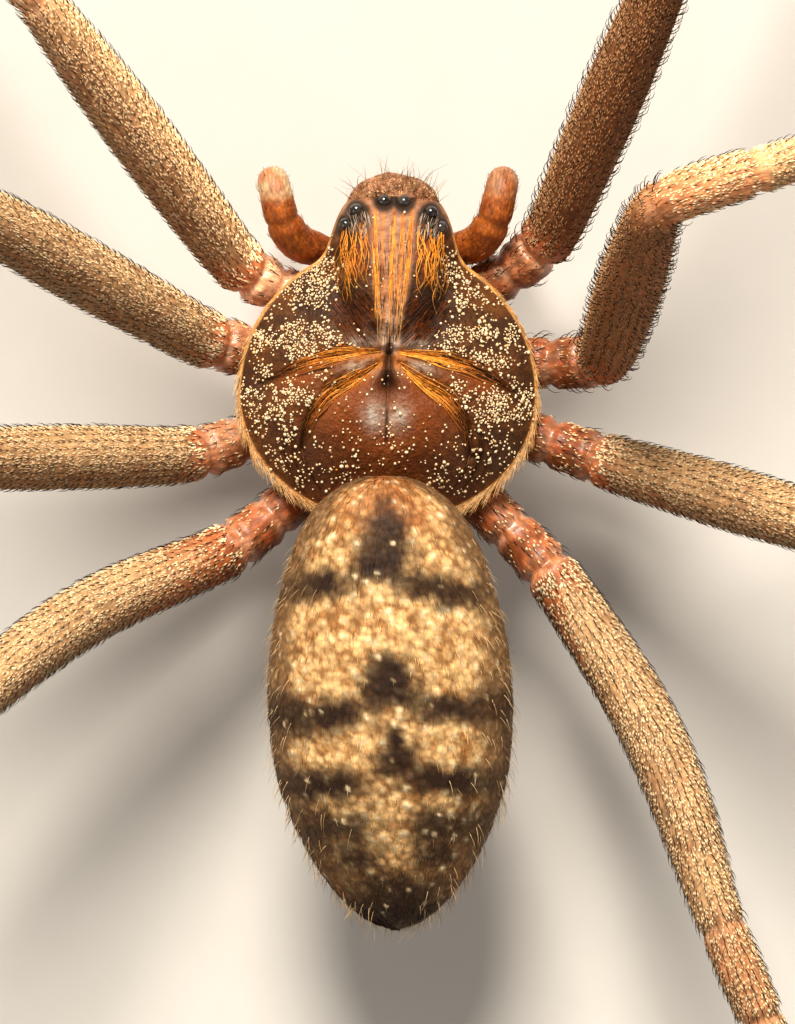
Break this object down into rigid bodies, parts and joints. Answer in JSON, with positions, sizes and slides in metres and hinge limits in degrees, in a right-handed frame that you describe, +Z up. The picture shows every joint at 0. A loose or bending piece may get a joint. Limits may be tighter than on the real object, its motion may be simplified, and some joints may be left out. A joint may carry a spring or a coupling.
{
  "type": "parram violin spider",
  "caption": "Still life-size model of a long-legged violin spider with a round carapace, narrow head, mottled oval abdomen and spread legs, standing on its feet.",
  "frame": {"origin": "on the floor, under the middle of the whole spider's box", "axes": "+Y forward along the body, +X the spider's right, +Z up"},
  "size_m": [0.0338, 0.0364, 0.008],
  "materials": {
    "carapace": "satin",
    "underside": "satin",
    "abdomen": "matte",
    "limb": "satin",
    "joint": "satin",
    "eye": "gloss"
  },
  "bodies": {
    "root": {"carapace": "carapace", "sternum": "underside", "pedicel": "underside", "abdomen": "abdomen", "spinnerets": "underside", "chelicera_left": "joint", "chelicera_right": "joint", "maxilla_left": "joint", "maxilla_right": "joint", "palp_left_femur": "limb", "palp_left_tip": "limb", "palp_right_femur": "limb", "palp_right_tip": "limb", "eye_front_left": "eye", "eye_front_right": "eye", "eye_left_inner": "eye", "eye_left_outer": "eye", "eye_right_inner": "eye", "eye_right_outer": "eye", "leg_left_1_coxa": "joint", "leg_left_1_femur": "limb", "leg_left_1_patella": "joint", "leg_left_1_tibia": "limb", "leg_left_1_foot": "limb", "leg_left_2_coxa": "joint", "leg_left_2_femur": "limb", "leg_left_2_patella": "joint", "leg_left_2_tibia": "limb", "leg_left_2_foot": "limb", "leg_left_3_coxa": "joint", "leg_left_3_femur": "limb", "leg_left_3_patella": "joint", "leg_left_3_tibia": "limb", "leg_left_3_foot": "limb", "leg_left_4_coxa": "joint", "leg_left_4_femur": "limb", "leg_left_4_patella": "joint", "leg_left_4_tibia": "limb", "leg_left_4_foot": "limb", "leg_right_1_coxa": "joint", "leg_right_1_femur": "limb", "leg_right_1_patella": "joint", "leg_right_1_tibia": "limb", "leg_right_1_foot": "limb", "leg_right_2_coxa": "joint", "leg_right_2_femur": "limb", "leg_right_2_patella": "joint", "leg_right_2_tibia": "limb", "leg_right_2_foot": "limb", "leg_right_3_coxa": "joint", "leg_right_3_femur": "limb", "leg_right_3_patella": "joint", "leg_right_3_tibia": "limb", "leg_right_3_foot": "limb", "leg_right_4_coxa": "joint", "leg_right_4_femur": "limb", "leg_right_4_patella": "joint", "leg_right_4_tibia": "limb", "leg_right_4_foot": "limb"}
  },
  "joints": []
}
